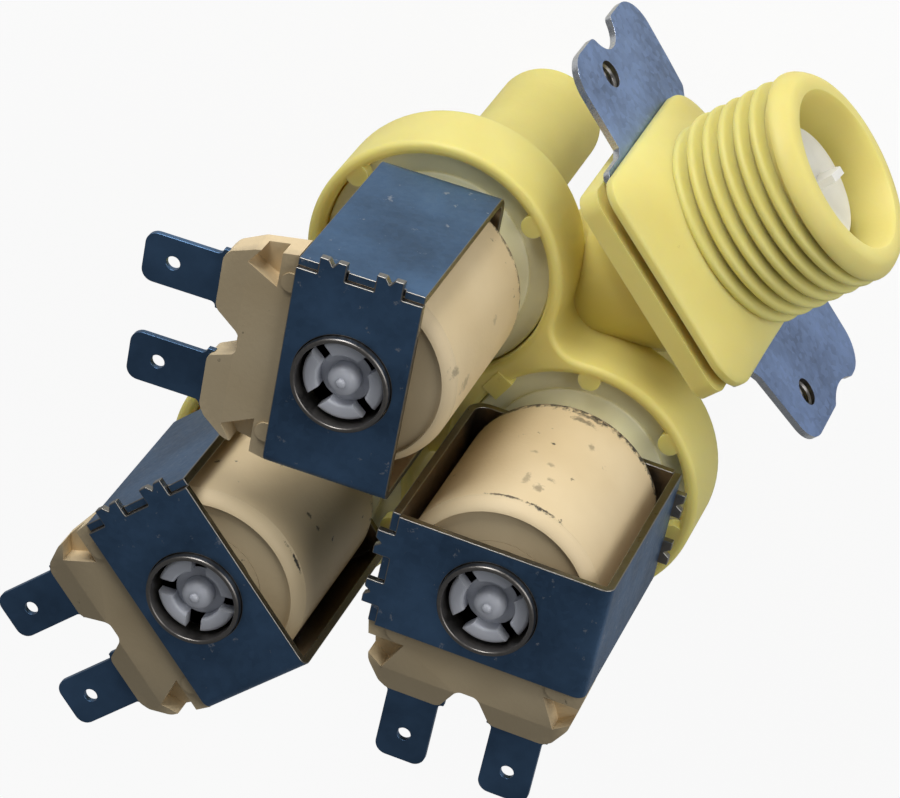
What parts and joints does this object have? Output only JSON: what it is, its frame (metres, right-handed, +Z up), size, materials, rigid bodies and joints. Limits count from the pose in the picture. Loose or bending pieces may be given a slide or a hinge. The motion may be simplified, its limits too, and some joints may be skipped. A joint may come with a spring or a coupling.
{
  "type": "washing machine inlet valve",
  "caption": "Solenoid water inlet valve: hose-threaded inlet with strainer, steel bracket, and yoked coils with blade terminals over hose spigots.",
  "frame": {"origin": "on the inlet's axis, in the middle of the mounting bracket's thickness, midway between its screw holes", "axes": "+X along the inlet and out of its mouth, +Z up along the solenoids, +Y to the left when facing along +X"},
  "size_m": [0.1044, 0.0808, 0.0809],
  "materials": {
    "body_plastic": "satin, slightly translucent moulding",
    "bracket_zinc": "zinc plated, blue passivated",
    "strainer_plastic": "moulded",
    "regulator_plastic": "moulded",
    "seal_rubber": "moulded rubber",
    "coil_plastic": "moulded, lightly marked",
    "bobbin_plastic": "moulded",
    "copper_wire": "enamelled copper wire",
    "terminal_steel": "plated strip",
    "yoke_steel": "zinc plated, blue passivated sheet",
    "sleeve_steel": "turned and rolled",
    "guide_plastic": "moulded",
    "plunger_steel": "turned stainless steel",
    "spring_steel": "stainless wire",
    "core_plastic": "moulded"
  },
  "bodies": {
    "valve": {"flow_regulator": "regulator_plastic", "flow_washer": "seal_rubber", "inlet_strainer": "strainer_plastic", "left_coil_bobbin": "bobbin_plastic", "left_coil_overmould": "coil_plastic", "left_coil_winding": "copper_wire", "left_diaphragm": "seal_rubber", "left_flux_sleeve_back": "sleeve_steel", "left_flux_sleeve_front": "sleeve_steel", "left_guide_tube": "guide_plastic", "left_plunger_spring": "spring_steel", "left_terminal_1": "terminal_steel", "left_terminal_2": "terminal_steel", "left_yoke_back": "yoke_steel", "left_yoke_front": "yoke_steel", "middle_coil_bobbin": "bobbin_plastic", "middle_coil_overmould": "coil_plastic", "middle_coil_winding": "copper_wire", "middle_diaphragm": "seal_rubber", "middle_flux_sleeve_back": "sleeve_steel", "middle_flux_sleeve_front": "sleeve_steel", "middle_guide_tube": "guide_plastic", "middle_plunger_spring": "spring_steel", "middle_terminal_1": "terminal_steel", "middle_terminal_2": "terminal_steel", "middle_yoke_back": "yoke_steel", "middle_yoke_front": "yoke_steel", "mounting_bracket": "bracket_zinc", "right_coil_bobbin": "bobbin_plastic", "right_coil_overmould": "coil_plastic", "right_coil_winding": "copper_wire", "right_diaphragm": "seal_rubber", "right_flux_sleeve_back": "sleeve_steel", "right_flux_sleeve_front": "sleeve_steel", "right_guide_tube": "guide_plastic", "right_plunger_spring": "spring_steel", "right_terminal_1": "terminal_steel", "right_terminal_2": "terminal_steel", "right_yoke_back": "yoke_steel", "right_yoke_front": "yoke_steel", "valve_body": "body_plastic"},
    "left_plunger": {"left_plunger": "plunger_steel", "left_plunger_tip": "seal_rubber"},
    "left_diaphragm_core": {"left_diaphragm_core": "core_plastic"},
    "right_plunger": {"right_plunger": "plunger_steel", "right_plunger_tip": "seal_rubber"},
    "right_diaphragm_core": {"right_diaphragm_core": "core_plastic"},
    "middle_plunger": {"middle_plunger": "plunger_steel", "middle_plunger_tip": "seal_rubber"},
    "middle_diaphragm_core": {"middle_diaphragm_core": "core_plastic"}
  },
  "joints": [
    {"name": "left_plunger_slide", "type": "slide", "parent": "valve", "child": "left_plunger", "axis": [0, 0, 1], "range_m": [0, 0.0028], "stiffness_N_per_m": 60, "springref_m": -0.01, "deforming": ["left_plunger_spring"]},
    {"name": "left_diaphragm_lift", "type": "slide", "parent": "valve", "child": "left_diaphragm_core", "axis": [0, 0, 1], "range_m": [0, 0.002], "deforming": ["left_diaphragm"]},
    {"name": "right_plunger_slide", "type": "slide", "parent": "valve", "child": "right_plunger", "axis": [0, 0, 1], "range_m": [0, 0.0028], "stiffness_N_per_m": 60, "springref_m": -0.01, "deforming": ["right_plunger_spring"]},
    {"name": "right_diaphragm_lift", "type": "slide", "parent": "valve", "child": "right_diaphragm_core", "axis": [0, 0, 1], "range_m": [0, 0.002], "deforming": ["right_diaphragm"]},
    {"name": "middle_plunger_slide", "type": "slide", "parent": "valve", "child": "middle_plunger", "axis": [0, 0, 1], "range_m": [0, 0.0028], "stiffness_N_per_m": 60, "springref_m": -0.01, "deforming": ["middle_plunger_spring"]},
    {"name": "middle_diaphragm_lift", "type": "slide", "parent": "valve", "child": "middle_diaphragm_core", "axis": [0, 0, 1], "range_m": [0, 0.002], "deforming": ["middle_diaphragm"]}
  ],
  "couplings": [
    {"joint": "left_diaphragm_lift", "follows": "left_plunger_slide", "ratio": 0.7},
    {"joint": "right_diaphragm_lift", "follows": "right_plunger_slide", "ratio": 0.7},
    {"joint": "middle_diaphragm_lift", "follows": "middle_plunger_slide", "ratio": 0.7}
  ]
}
